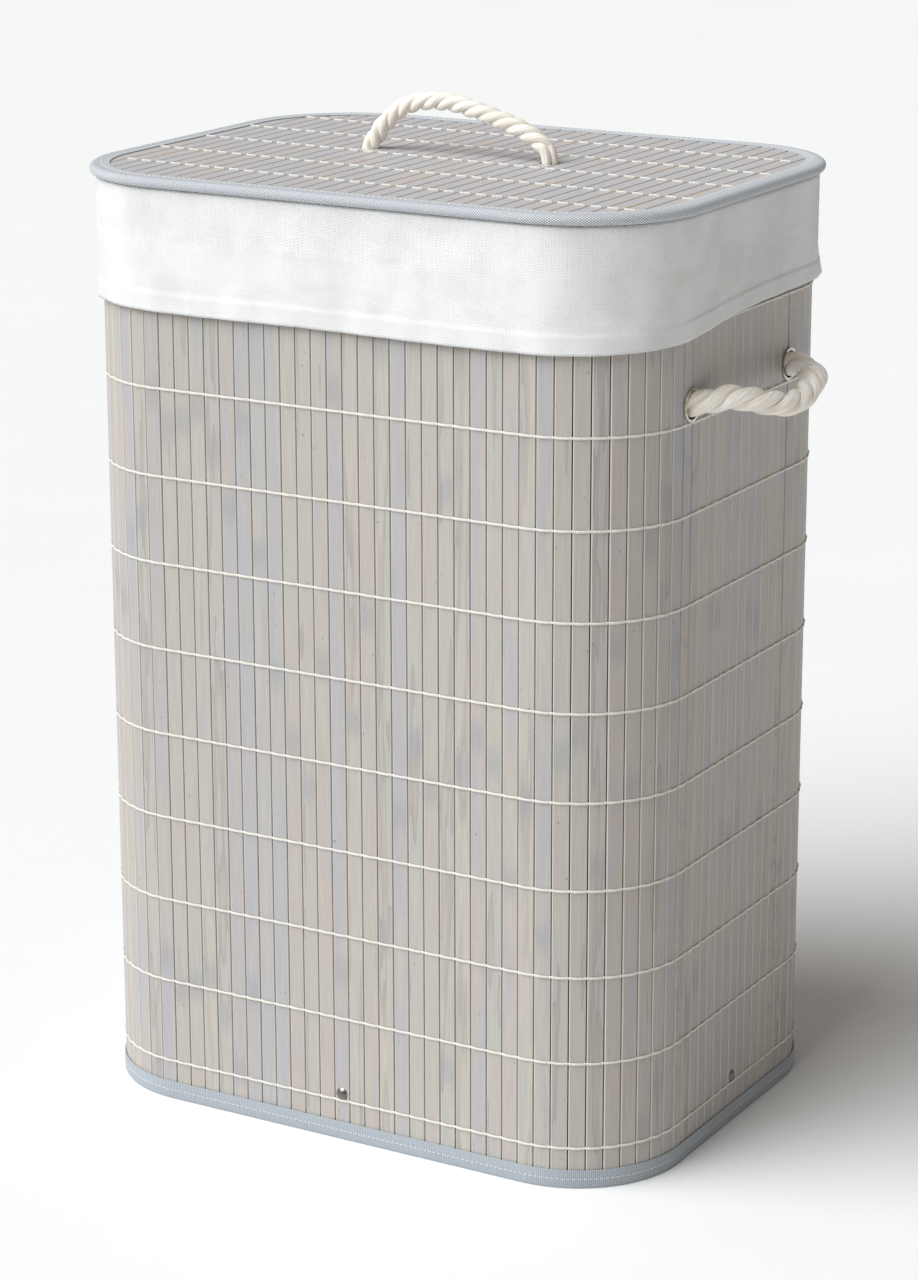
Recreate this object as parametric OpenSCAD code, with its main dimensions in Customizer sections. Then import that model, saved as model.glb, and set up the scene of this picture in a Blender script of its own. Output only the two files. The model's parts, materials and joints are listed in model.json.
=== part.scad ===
// Laundry hamper with a loose lid: a folding wall of bamboo slats on cloth, a removable
// cotton liner, a base panel held by press studs, and rope handles.
// Millimetres. +Z is up, the floor is z = 0, the front face looks towards -Y.
// An "offset" is a distance outwards from the outer face of the wall's slats.

/* [Basket wall] */
// Width of the wall across the slats' outer faces
wall_w = 400; // [330:1:480]
// Depth of the wall across the slats' outer faces
wall_d = 297; // [245:1:357]
// Radius of the wall's corners
corner_r = 71; // [58:0.5:86]
// Height of the bound rim above the floor
rim_h = 594; // [494:1:714]
// Distance from one slat to the next, before it is fitted to the wall's length
slat_pitch_wanted = 11; // [9:0.1:13.5]
// Gap between two slats
slat_gap = 0.85; // [0.6:0.05:1.2]
// Thickness of a slat
slat_t = 2; // [1.6:0.1:2.4]
// Thickness of the cloth that the slats are glued to
backing_t = 0.6; // [0.4:0.1:0.8]
// Height of the lowest row of thread
thread_z0 = 26.3; // [22:0.1:32]
// Distance between two rows of thread
thread_pitch = 55.6; // [46:0.1:66]
// Height of a thread row's band
thread_h = 1.6; // [1.2:0.1:2]

/* [Bindings] */
// Thickness of the binding tape
tape_t = 0.8; // [0.6:0.1:1.2]
// Height of the tape round the foot
foot_tape_h = 12; // [10:0.5:16]
// Height of the tape round the rim
rim_tape_h = 16; // [12:0.5:20]
// Diameter of the steel wire in the rim
rim_wire_d = 2.4; // [2:0.1:2.6]

/* [Lid] */
// How far the lid reaches beyond the slats' outer faces
lid_overhang = 6.7; // [5.5:0.1:9]
// Width of the lid's binding, seen from above
lid_tape_w = 11.5; // [10.5:0.5:14]
// Thickness of the lid's lining
lid_lining_t = 0.5; // [0.4:0.1:0.8]
// Thickness of the lid's board
lid_board_t = 2.8; // [2.4:0.1:4]
// Thickness of the lid's slats
lid_slat_t = 1.6; // [1.4:0.1:2]
// Distance from one lid slat to the next
lid_slat_pitch = 11.17; // [10:0.01:13]
// Diameter of the wire in the lid's edge
lid_wire_d = 4.2; // [3.4:0.1:4.4]
// Distance between two rows of thread on the lid
lid_thread_pitch = 52.1; // [43:0.1:60]
// Turn of the thread rows away from the lid's long side, degrees
lid_thread_turn = -2.8; // [-4:0.1:4]

/* [Liner] */
// Height of the liner's turned-down collar
collar_h = 75; // [62:1:90]
// Height of the collar's hem
hem_h = 12; // [8:1:16]
// Thickness of the liner's cloth
liner_t = 0.8; // [0.6:0.1:1]
// How far the collar hangs clear of the slats
collar_gap = 2.2; // [1.9:0.1:4]
// Space between the wall's outer face and the bag at the two ends
bag_inset_x = 32; // [31:0.5:40]
// Space between the wall's outer face and the bag at the front and back
bag_inset_y = 12; // [11:0.5:24]

/* [Rope handles] */
// Diameter of the side handles' rope
side_rope_d = 15; // [13:0.5:15]
// Place of the side handles' middle along the depth
side_handle_y = -6; // [-10:1:10]
// How far the rope holes lie below the rim
side_hole_drop = 112; // [104:1:194]
// Diameter of the lid handle's rope
lid_rope_d = 12; // [10:0.5:12]
// Depth of a side handle's knot
side_knot_h = 22; // [18:1:23]
// Radius of a side handle's knot
side_knot_r = 14; // [13:0.5:16]
// Depth of a lid handle's knot
lid_knot_h = 14; // [12:0.5:16]
// Radius of a lid handle's knot
lid_knot_r = 10; // [9:0.5:12]

/* [Base] */
// Thickness of the base's board
base_board_t = 3; // [2.4:0.1:4]
// Thickness of the cloth on the base
base_cloth_t = 0.7; // [0.5:0.1:1]
// Height of the base's underside above the floor
base_z = 3.3; // [2:0.1:6]
// Width of a base tab
tab_w = 45; // [36:1:60]
// Height of a base tab
tab_h = 36; // [34:1:44]
// Thickness of a base tab
tab_t = 1.2; // [1:0.1:1.6]
// Height of the press studs above the floor
stud_z = 30.5; // [28:0.5:33]

/* [Hidden] */
$fn = 48;

slat_colour = [0.78, 0.75, 0.71];
cloth_colour = [0.85, 0.83, 0.78];
tape_colour = [0.66, 0.70, 0.74];
thread_colour = [0.93, 0.91, 0.85];
rope_colour = [0.95, 0.92, 0.86];
liner_colour = [0.96, 0.96, 0.95];
metal_colour = [0.72, 0.72, 0.73];
board_colour = [0.62, 0.51, 0.38];

// Clearances
glue_gap = 0.05;     // between the slats and their cloth
facet_room = 0.25;   // the flat slats stand out this far at a corner
tape_room = 0.1;     // between a tape and what it wraps
lay_gap = 0.3;       // between two pieces that rest on each other and come apart
shank_room = 0.1;    // round a press stud's shank
stud_gap = 0.3;      // between a wall stud and the snap on its tab
side_hole_gap = 134; // between the two holes of one handle
side_hole_z = rim_h - side_hole_drop;
bore_room = 0.2;     // round an eyelet's barrel, and round an eyelet or a stud where a thread passes
seat_room = 0.5;     // between the cloth and what is pulled up to it from inside

// The wall's outline and its slats
straight_x = wall_w / 2 - corner_r;
straight_y = wall_d / 2 - corner_r;
arc_length = corner_r * PI / 2;
quarter_length = straight_x + arc_length + straight_y;
quarter_slats = round(quarter_length / slat_pitch_wanted);
slat_pitch = quarter_length / quarter_slats;
slat_w = slat_pitch - slat_gap;
front_reach = floor(straight_x / slat_pitch);
side_reach = floor(straight_y / slat_pitch);

// The wall's layers, as offsets
backing_out = -slat_t - glue_gap;
backing_in = backing_out - backing_t;
tape_in = backing_in - tape_room - tape_t;
tape_out = facet_room + tape_t;
foot_web_t = 1.2;
wire_off = backing_in / 2;
wire_z = rim_h - tape_t - tape_room - rim_wire_d / 2;
slat_top = wire_z - rim_wire_d / 2 - tape_room;
slat_bottom = foot_web_t;

// The liner
collar_in = collar_gap;
collar_out = collar_gap + liner_t;
collar_web_z = rim_h + lay_gap;
collar_top = collar_web_z + liner_t;
mouth_out = tape_in - 0.6;
mouth_in = mouth_out - liner_t;
shoulder_z = side_hole_z + side_knot_r + 8;
bag_corner_r = corner_r - bag_inset_y;

// The lid
lid_z = collar_top + lay_gap;
lid_roll_h = 2 * tape_t + lid_lining_t + lid_board_t + lid_slat_t;
lid_lining_z = lid_z + tape_t;
lid_board_z = lid_lining_z + lid_lining_t;
lid_slat_z = lid_board_z + lid_board_t;
lid_top = lid_slat_z + lid_slat_t;
lid_wire_off = lid_overhang - lid_roll_h / 2;
lid_edge_off = lid_wire_off - lid_wire_d / 2 - 0.3;
lid_thread_h = 0.6;
lid_thread_w = 1.4;
lid_thread_rows = floor((wall_d / 2 - 24) / lid_thread_pitch);

// The handles. A loop turns about its hinge, just outside its two holes.
eyelet_r = side_rope_d / 2 + 1.1;
eyelet_rim_r = eyelet_r + 1.7;
eyelet_barrel_t = 0.5;
eyelet_rim_t = 0.8;
lid_hole_room = 0.3;
hole_reach = abs(side_handle_y) + side_hole_gap / 2;
rim_lift = hole_reach + eyelet_rim_r > (side_reach + 0.5) * slat_pitch ? facet_room : 0;
eyelet_seat = -backing_in + seat_room + curved_back(hole_reach + eyelet_rim_r);
knot_seat = -backing_in + max(seat_room, curved_back(hole_reach + side_knot_r) + 0.4);
knot_depth = max(eyelet_seat, knot_seat) + eyelet_rim_t;
rope_sides = 12;

// The right handle's route, from the wall's face, the handle's middle and the holes' height
side_route = [[8.8, -60, 2], [13, -55, 3], [18, -49.5, 3.5], [24.5, -42, 1.5], [30, -33.5, -1],
              [35, -24, -3.5], [38, -14, -5], [39.5, -4, -5], [39, 6.5, -3.5], [37.5, 17, -1],
              [35, 27, 0], [32, 36.5, 0], [27.5, 45.5, -0.5], [21, 53, -0.5], [14, 58.5, 1],
              [8.8, 61.5, 2]];

// The lid handle's route, from the middle of the lid's top face
lid_handle_y = 17;
lid_feet_x = [-74.5, 55];
lid_route = [[-70, 7], [-66, 13], [-61, 18.5], [-52, 26], [-41, 31], [-28, 33], [-12, 32.5],
             [2, 29.5], [16.5, 25.5], [31, 21], [42, 16.5], [49.5, 12], [53.5, 7]];

// The base. It turns about the top of its rear edge.
base_off = tape_in - 3.2;
base_board_z = base_z + base_cloth_t;
base_top = base_board_z + base_board_t + base_cloth_t;
base_hinge_z = base_top + 0.3;
stud_cap_r = 4.2;
stud_cap_h = 1.7;
stud_shank_r = 1.4;
stud_disc_r = 5;
stud_disc_t = 0.8;
stud_ball_r = 2.2;
stud_ball_t = 1.4;
snap_t = 2;
stud_in = backing_in - stud_disc_t - stud_ball_t;
snap_in = stud_in - stud_gap - snap_t;
tab_foot = 30;
tab_gap = 0.2;       // between a tab's foot and its upright, which turn on each other
hinge_tape_w = 2 * straight_x - 8;
hinge_tape_h = 26;

// ---- Shapes that repeat ----

// The wall's outline, grown by an offset
module outline(off = 0) {
    square([2 * straight_x, wall_d + 2 * off], center = true);
    square([wall_w + 2 * off, 2 * straight_y], center = true);
    for (sx = [-1, 1], sy = [-1, 1])
        translate([sx * straight_x, sy * straight_y]) circle(r = corner_r + off, $fn = 96);
}

// A band that follows the wall, between two offsets and two heights
module band(z0, z1, out, in)
    translate([0, 0, z0]) linear_extrude(z1 - z0) difference() {
        outline(out);
        outline(in);
    }

// A flat sheet in the wall's outline
module sheet(z0, z1, off)
    translate([0, 0, z0]) linear_extrude(z1 - z0) outline(off);

// Sweeps a profile (x is the offset, y is the height) round the wall's outline
module edge_sweep() {
    for (q = [0:3]) {
        cx = (q == 0 || q == 3) ? straight_x : -straight_x;
        cy = q < 2 ? straight_y : -straight_y;
        translate([cx, cy, 0]) rotate(q * 90)
            rotate_extrude(angle = 90, $fn = 96) translate([corner_r, 0]) children();
    }
    for (side = [0, 1]) rotate(side * 180) {
        translate([wall_w / 2, straight_y, 0]) rotate([90, 0, 0])
            linear_extrude(2 * straight_y) children();
        translate([-straight_x, wall_d / 2, 0]) rotate([90, 0, 90])
            linear_extrude(2 * straight_x) children();
    }
}

// One upright slat, with its outer face on y = 0 and the basket towards +Y
module wall_slat()
    translate([-slat_w / 2, 0, slat_bottom]) cube([slat_w, slat_t, slat_top - slat_bottom]);

// How far the end wall has curved back at a place along the depth
function curved_back(y) = corner_r - sqrt(pow(corner_r, 2) - pow(max(0, abs(y) - straight_y), 2));

// Drills for the side handles' eyelets, through both end walls
module eyelet_drills()
    for (sy = [-1, 1])
        translate([0, side_handle_y + sy * side_hole_gap / 2, side_hole_z]) rotate([0, 90, 0])
            cylinder(r = eyelet_r + eyelet_barrel_t + bore_room, h = 2 * wall_w, center = true);

// Puts its children on the front, right and left faces at stud height, facing inwards (+Y)
module at_studs(sides = true) {
    translate([0, -wall_d / 2, stud_z]) children();
    if (sides) for (side = [-1, 1]) at_side(side) children();
}

module at_side(side) translate([side * wall_w / 2, 0, stud_z]) rotate(side * 90) children();

// Drills for the studs' shanks
module stud_drills()
    at_studs() translate([0, -10, 0]) rotate([-90, 0, 0])
        cylinder(r = stud_shank_r + shank_room, h = 20);

// Round cross-sections swept along a route whose ends are domed
function unit(v) = v / norm(v);
function along(route, i) =
    unit(route[min(i + 1, len(route) - 1)] - route[max(i - 1, 0)]);
function ring_at(centre, dir, r, up) =
    let (a = unit(cross(dir, up)), b = cross(a, dir))
    [for (k = [0:rope_sides - 1])
        let (t = 360 * k / rope_sides) centre + r * (cos(t) * a + sin(t) * b)];

module skin(rings) {
    sides = len(rings[0]);
    last = len(rings) - 1;
    points = [for (ring = rings) each ring];
    walls = [for (i = [0:last - 1], k = [0:sides - 1])
        let (a = i * sides + k, b = i * sides + (k + 1) % sides)
        each [[a, b, b + sides], [a, b + sides, a + sides]]];
    low_cap = [for (k = [1:sides - 2]) [0, k + 1, k]];
    top = last * sides;
    high_cap = [for (k = [1:sides - 2]) [top, top + k, top + k + 1]];
    polyhedron(points, concat(walls, low_cap, high_cap));
}

module rope(route, d, up) {
    r = d / 2;
    last = len(route) - 1;
    first_dir = along(route, 0);
    last_dir = along(route, last);
    dome = [75, 50, 25];
    skin(concat(
        [for (t = dome) ring_at(route[0] - first_dir * r * sin(t), first_dir, r * cos(t), up)],
        [for (i = [0:last]) ring_at(route[i], along(route, i), r, up)],
        [for (t = [25, 50, 75])
            ring_at(route[last] + last_dir * r * sin(t), last_dir, r * cos(t), up)]));
}

// ---- The wall ----

module slats_front() {
    color(slat_colour) difference() {
        for (i = [-front_reach:front_reach])
            translate([i * slat_pitch, -wall_d / 2, 0]) wall_slat();
        stud_drills();
    }
}

module slats_back() {
    color(slat_colour) for (i = [-front_reach:front_reach])
        translate([i * slat_pitch, wall_d / 2, 0]) rotate(180) wall_slat();
}

module side_slats(side) {
    color(slat_colour) difference() {
        for (i = [-side_reach:side_reach])
            translate([side * wall_w / 2, i * slat_pitch, 0]) rotate(side * 90) wall_slat();
        eyelet_drills();
        stud_drills();
    }
}

module slats_left() { side_slats(-1); }
module slats_right() { side_slats(1); }

module slats_corners() {
    color(slat_colour) difference() {
        for (mx = [0, 1], my = [0, 1]) mirror([mx, 0]) mirror([0, my])
            for (i = [front_reach + 1:quarter_slats - side_reach - 1]) {
                turn = (i * slat_pitch - straight_x) / corner_r * 180 / PI;
                translate([straight_x, -straight_y, 0]) rotate(turn)
                    translate([0, -corner_r, 0]) wall_slat();
            }
        eyelet_drills();
    }
}

module long_backing() {
    translate([-straight_x, -wall_d / 2 - backing_out, slat_bottom])
        cube([2 * straight_x, backing_t, slat_top - slat_bottom]);
}

module backing_front() { color(cloth_colour) difference() { long_backing(); stud_drills(); } }
module backing_back() { color(cloth_colour) rotate(180) long_backing(); }

module end_backing(side) {
    color(cloth_colour) difference() {
        rotate(side * 90) translate([-straight_y, -wall_w / 2 - backing_out, slat_bottom])
            cube([2 * straight_y, backing_t, slat_top - slat_bottom]);
        eyelet_drills();
        stud_drills();
    }
}

module backing_left() { end_backing(-1); }
module backing_right() { end_backing(1); }

module backing_corners() {
    color(cloth_colour) difference() {
        for (mx = [0, 1], my = [0, 1]) mirror([mx, 0]) mirror([0, my])
            translate([straight_x, straight_y, slat_bottom])
                rotate_extrude(angle = 90, $fn = 96)
                    translate([corner_r + backing_in, 0])
                        square([backing_t, slat_top - slat_bottom]);
        eyelet_drills();
    }
}

module wall_threads() {
    rows = floor((rim_h - rim_tape_h - thread_h - thread_z0) / thread_pitch);
    color(thread_colour) difference() {
        for (k = [0:rows])
            band(thread_z0 + k * thread_pitch - thread_h / 2,
                 thread_z0 + k * thread_pitch + thread_h / 2, facet_room + 0.7, facet_room);
        for (sy = [-1, 1])
            translate([0, side_handle_y + sy * side_hole_gap / 2, side_hole_z])
                rotate([0, 90, 0])
                    cylinder(r = eyelet_rim_r + bore_room, h = 2 * wall_w, center = true);
        at_studs() translate([0, -10, 0]) rotate([-90, 0, 0])
            cylinder(r = stud_cap_r + bore_room, h = 20);
    }
}

module foot_tape() {
    color(tape_colour) {
        band(0, foot_web_t, tape_out, tape_in);
        band(foot_web_t, foot_tape_h, tape_out, facet_room);
        band(foot_web_t, foot_tape_h, tape_in + tape_t, tape_in);
    }
}

module rim_tape() {
    color(tape_colour) {
        band(rim_h - tape_t, rim_h, tape_out, tape_in);
        band(rim_h - rim_tape_h, rim_h - tape_t, tape_out, facet_room);
        band(rim_h - rim_tape_h, rim_h - tape_t, tape_in + tape_t, tape_in);
    }
}

module rim_wire() {
    color(metal_colour) edge_sweep() translate([wire_off, wire_z]) circle(d = rim_wire_d);
}

module side_eyelets() {
    color(metal_colour) for (side = [-1, 1], sy = [-1, 1])
        translate([side * wall_w / 2, side_handle_y + sy * side_hole_gap / 2, side_hole_z])
            rotate([0, side * 90, 0]) rotate_extrude() {
                translate([eyelet_r, -eyelet_seat - eyelet_rim_t])
                    square([eyelet_barrel_t, eyelet_seat + rim_lift + 2 * eyelet_rim_t]);
                translate([eyelet_r, rim_lift]) square([eyelet_rim_r - eyelet_r, eyelet_rim_t]);
                translate([eyelet_r, -eyelet_seat - eyelet_rim_t])
                    square([eyelet_rim_r - eyelet_r, eyelet_rim_t]);
            }
}

// ---- Press studs ----

module stud_caps() {
    dome_r = (pow(stud_cap_r, 2) + pow(stud_cap_h, 2)) / (2 * stud_cap_h);
    color(metal_colour) at_studs() rotate([90, 0, 0]) {
        intersection() {
            translate([0, 0, stud_cap_h - dome_r]) sphere(r = dome_r);
            cylinder(r = stud_cap_r + 1, h = stud_cap_h + 1);
        }
        translate([0, 0, -slat_t - glue_gap]) cylinder(r = stud_shank_r, h = slat_t + glue_gap);
    }
}

module wall_studs() {
    color(metal_colour) at_studs() translate([0, -backing_in, 0]) rotate([-90, 0, 0]) {
        translate([0, 0, -backing_t]) cylinder(r = stud_shank_r, h = backing_t);
        cylinder(r = stud_disc_r, h = stud_disc_t);
        translate([0, 0, stud_disc_t]) cylinder(r = stud_ball_r, h = stud_ball_t);
    }
}

// ---- Handles ----

// A knot with its short tail: two rounded turns of rope round the standing part
module knot(r, h, tail_r) {
    turn = h / 4;
    rotate_extrude() {
        for (k = [1, 3]) {
            translate([r - turn, k * turn]) circle(r = turn, $fn = 32);
            translate([0, (k - 1) * turn]) square([r - turn, 2 * turn]);
        }
    }
    translate([0, 0, -tail_r / 2]) cylinder(r = tail_r, h = h + tail_r / 2);
}

module handle_knots(side) {
    color(rope_colour) for (sy = [-1, 1])
        translate([side * wall_w / 2, side_handle_y + sy * side_hole_gap / 2, side_hole_z])
            rotate([0, -side * 90, 0]) {
                cylinder(d = side_rope_d, h = knot_depth + 1);
                translate([0, 0, knot_depth]) knot(side_knot_r, side_knot_h, side_rope_d / 4);
            }
}

module right_handle_knots() { handle_knots(1); }
module left_handle_knots() { handle_knots(-1); }

function side_points(side) = [for (p = side_route)
    [side * (wall_w / 2 + p[0]), side_handle_y + p[1], side_hole_z + p[2]]];

module right_handle_rope() {
    color(rope_colour) rope(side_points(1), side_rope_d, [0, 0, 1]);
}

module left_handle_rope() {
    color(rope_colour) mirror([1, 0, 0]) rope(side_points(1), side_rope_d, [0, 0, 1]);
}

module lid_handle_rope() {
    color(rope_colour)
        rope([for (p = lid_route) [p[0], lid_handle_y, lid_top + p[1]]], lid_rope_d, [0, 1, 0]);
}

module lid_handle_knots() {
    through = lid_top - lid_z;
    color(rope_colour) for (x = lid_feet_x)
        translate([x, lid_handle_y, lid_z]) rotate([180, 0, 0]) {
            translate([0, 0, -through]) cylinder(d = lid_rope_d, h = through);
            knot(lid_knot_r, lid_knot_h, lid_rope_d / 4);
        }
}

module lid_drills()
    for (x = lid_feet_x) translate([x, lid_handle_y, lid_z - 1])
        cylinder(r = lid_rope_d / 2 + lid_hole_room, h = lid_roll_h + 2);

// ---- The lid ----

module lid_lining() {
    color(liner_colour) difference() {
        sheet(lid_lining_z, lid_board_z, lid_edge_off);
        lid_drills();
    }
}

module lid_board() {
    color(board_colour) difference() {
        sheet(lid_board_z, lid_slat_z, lid_edge_off);
        lid_drills();
    }
}

module lid_slats() {
    reach = floor((wall_w / 2 + lid_edge_off) / lid_slat_pitch - 0.5);
    width = lid_slat_pitch - slat_gap;
    color(slat_colour) difference() {
        intersection() {
            sheet(lid_slat_z, lid_top, lid_edge_off);
            for (i = [-reach:reach])
                translate([i * lid_slat_pitch - width / 2, -wall_d, lid_slat_z])
                    cube([width, 2 * wall_d, lid_slat_t]);
        }
        lid_drills();
    }
}

module lid_threads() {
    color(thread_colour) difference() {
        intersection() {
            sheet(lid_top, lid_top + lid_thread_h, lid_overhang - lid_tape_w - 0.3);
            for (k = [-lid_thread_rows:lid_thread_rows])
                translate([0, k * lid_thread_pitch, lid_top]) rotate(lid_thread_turn)
                    translate([-wall_w, -lid_thread_w / 2, 0])
                        cube([2 * wall_w, lid_thread_w, lid_thread_h]);
        }
        lid_drills();
    }
}

module lid_tape() {
    roll_r = lid_roll_h / 2;
    color(tape_colour) edge_sweep() translate([lid_overhang, lid_z]) difference() {
        union() {
            translate([-lid_tape_w, 0]) square([lid_tape_w - roll_r, lid_roll_h]);
            translate([-roll_r, roll_r]) circle(r = roll_r);
        }
        translate([-lid_tape_w - 1, tape_t])
            square([lid_tape_w - roll_r + 1, lid_roll_h - 2 * tape_t]);
        translate([-roll_r, roll_r]) circle(r = roll_r - tape_t);
    }
}

module lid_wire() {
    color(metal_colour) edge_sweep()
        translate([lid_wire_off, lid_z + lid_roll_h / 2]) circle(d = lid_wire_d);
}

// ---- The liner ----

module liner_collar() {
    color(liner_colour) {
        band(collar_top - collar_h, collar_web_z, collar_out, collar_in);
        band(collar_web_z, collar_top, collar_out, mouth_in);
    }
}

module collar_hem() {
    color(liner_colour)
        band(collar_top - collar_h, collar_top - collar_h + hem_h, collar_in, collar_in - 0.6);
}

// A rounded rectangle of points at one height, inset from the wall's outer face
function bag_loop(inset_x, inset_y, r, z) = [for (q = [0:3], k = [0:8])
    let (a = q * 90 + k * 90 / 8,
         cx = ((q == 0 || q == 3) ? 1 : -1) * (wall_w / 2 - inset_x - r),
         cy = (q < 2 ? 1 : -1) * (wall_d / 2 - inset_y - r))
    [cx + r * cos(a), cy + r * sin(a), z]];

module liner_bag() {
    floor_z = base_top + tab_t + lay_gap + 0.5;
    bend = 20;
    low_out = [bag_inset_x, bag_inset_y, bag_corner_r];
    low_in = [bag_inset_x + liner_t, bag_inset_y + liner_t, bag_corner_r - liner_t];
    high_out = [-mouth_out, -mouth_out, corner_r + mouth_out];
    high_in = [-mouth_in, -mouth_in, corner_r + mouth_in];
    rows = [[low_out, floor_z], [low_out, shoulder_z], [high_out, shoulder_z + bend],
            [high_out, collar_web_z], [high_in, collar_web_z], [high_in, shoulder_z + bend],
            [low_in, shoulder_z], [low_in, floor_z + liner_t]];
    color(liner_colour) skin([for (row = rows) bag_loop(row[0][0], row[0][1], row[0][2], row[1])]);
}

// ---- The base ----

module base_board() {
    color(board_colour) sheet(base_board_z, base_board_z + base_board_t, base_off - base_cloth_t);
}

module base_cover() {
    color(cloth_colour) {
        band(base_board_z, base_board_z + base_board_t, base_off, base_off - base_cloth_t);
        sheet(base_board_z + base_board_t, base_top, base_off);
    }
}

module base_underside() {
    color(cloth_colour) sheet(base_z, base_board_z, base_off);
}

// A tab's sewn foot, flat on the base
module tab_feet() {
    color(cloth_colour) at_studs()
        translate([-tab_w / 2, -snap_in, base_top - stud_z]) cube([tab_w, tab_foot, tab_t]);
}

// A tab's upright, which turns inwards on its lower inner edge once its stud is open
module tab() {
    foot_top = base_top + tab_t + tab_gap;
    color(cloth_colour) translate([-tab_w / 2, -snap_in, foot_top - stud_z])
        cube([tab_w, tab_t, tab_h]);
}

// The half of a press stud that sits on a tab
module snap()
    color(metal_colour) translate([0, -snap_in, 0]) rotate([90, 0, 0])
        cylinder(r = stud_disc_r, h = snap_t);

module front_tab() { at_studs(sides = false) tab(); }
module left_tab() { at_side(-1) tab(); }
module right_tab() { at_side(1) tab(); }
module front_snap() { at_studs(sides = false) snap(); }
module left_snap() { at_side(-1) snap(); }
module right_snap() { at_side(1) snap(); }

module base_hinge_tape() {
    y = wall_d / 2 + tape_in - 0.1;
    color(cloth_colour) translate([-hinge_tape_w / 2, y - tape_t, base_hinge_z])
        cube([hinge_tape_w, tape_t, hinge_tape_h]);
}

slats_front();
slats_back();
slats_left();
slats_right();
slats_corners();
backing_front();
backing_back();
backing_left();
backing_right();
backing_corners();
wall_threads();
foot_tape();
rim_tape();
rim_wire();
side_eyelets();
stud_caps();
wall_studs();
base_hinge_tape();
right_handle_knots();
left_handle_knots();
right_handle_rope();
left_handle_rope();
lid_board();
lid_lining();
lid_slats();
lid_threads();
lid_tape();
lid_wire();
lid_handle_knots();
lid_handle_rope();
liner_bag();
liner_collar();
collar_hem();
base_board();
base_cover();
base_underside();
tab_feet();
front_tab();
left_tab();
right_tab();
front_snap();
left_snap();
right_snap();
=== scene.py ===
# %% [markdown]
# A laundry hamper is a folding wall of bamboo slats on cloth, with a loose lid, a cotton liner
# whose top is turned down over the rim, and rope handles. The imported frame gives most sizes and
# places, and each cell below makes one piece or one finish around it.

# %% Load the frame
import json
import math

import bpy
import numpy as np
from mathutils import Matrix, Vector


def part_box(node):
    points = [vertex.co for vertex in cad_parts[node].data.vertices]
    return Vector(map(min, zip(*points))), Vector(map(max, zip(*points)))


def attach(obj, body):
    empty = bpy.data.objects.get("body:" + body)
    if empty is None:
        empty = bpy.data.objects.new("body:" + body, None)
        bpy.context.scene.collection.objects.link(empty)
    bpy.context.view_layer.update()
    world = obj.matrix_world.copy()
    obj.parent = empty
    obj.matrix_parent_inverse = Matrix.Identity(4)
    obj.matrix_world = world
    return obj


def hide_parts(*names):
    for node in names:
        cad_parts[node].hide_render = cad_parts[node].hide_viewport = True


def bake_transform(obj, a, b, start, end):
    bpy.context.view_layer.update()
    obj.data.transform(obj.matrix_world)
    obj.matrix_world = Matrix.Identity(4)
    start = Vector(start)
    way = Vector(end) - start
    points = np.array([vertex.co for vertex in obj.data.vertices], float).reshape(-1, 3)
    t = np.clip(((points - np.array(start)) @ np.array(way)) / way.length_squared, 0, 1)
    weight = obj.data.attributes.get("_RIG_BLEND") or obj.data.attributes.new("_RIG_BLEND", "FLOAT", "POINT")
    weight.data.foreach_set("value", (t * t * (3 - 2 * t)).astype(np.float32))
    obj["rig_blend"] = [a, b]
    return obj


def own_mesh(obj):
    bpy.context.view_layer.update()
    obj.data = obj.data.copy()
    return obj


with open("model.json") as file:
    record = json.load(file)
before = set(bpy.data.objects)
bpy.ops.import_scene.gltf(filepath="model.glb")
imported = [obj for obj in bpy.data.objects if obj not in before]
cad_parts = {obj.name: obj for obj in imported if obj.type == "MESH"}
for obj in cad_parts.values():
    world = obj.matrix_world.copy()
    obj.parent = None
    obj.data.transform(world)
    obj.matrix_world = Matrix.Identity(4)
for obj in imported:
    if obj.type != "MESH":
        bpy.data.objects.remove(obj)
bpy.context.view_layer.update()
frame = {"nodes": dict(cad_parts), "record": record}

MM = 0.001

# %% [markdown]
# The wall's plan is a rounded rectangle. All that follows the wall (slats, threads, tapes, collar)
# is easiest to place by the distance walked round it, so one function turns that distance and an
# offset into points. Most sizes are read off the frame's own nodes. The number of slats is counted.

# %% Sizes of the wall, and walking round it
HALF_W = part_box("slats_right")[1][0]
HALF_D = -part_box("slats_front")[0][1]
STRAIGHT_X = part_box("backing_front")[1][0]
STRAIGHT_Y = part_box("backing_right")[1][1]
CORNER_R = HALF_W - STRAIGHT_X
SLAT_LOW, SLAT_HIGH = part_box("slats_front")[0][2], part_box("slats_front")[1][2]
SLAT_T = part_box("slats_front")[1][1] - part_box("slats_front")[0][1]
ARC = CORNER_R * math.pi / 2
QUARTER = STRAIGHT_X + ARC + STRAIGHT_Y
AROUND = 4 * QUARTER
QUARTER_SLATS = 29
PITCH = QUARTER / QUARTER_SLATS
SLAT_GAP = 0.85 * MM
SLAT_W = PITCH - SLAT_GAP


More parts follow.
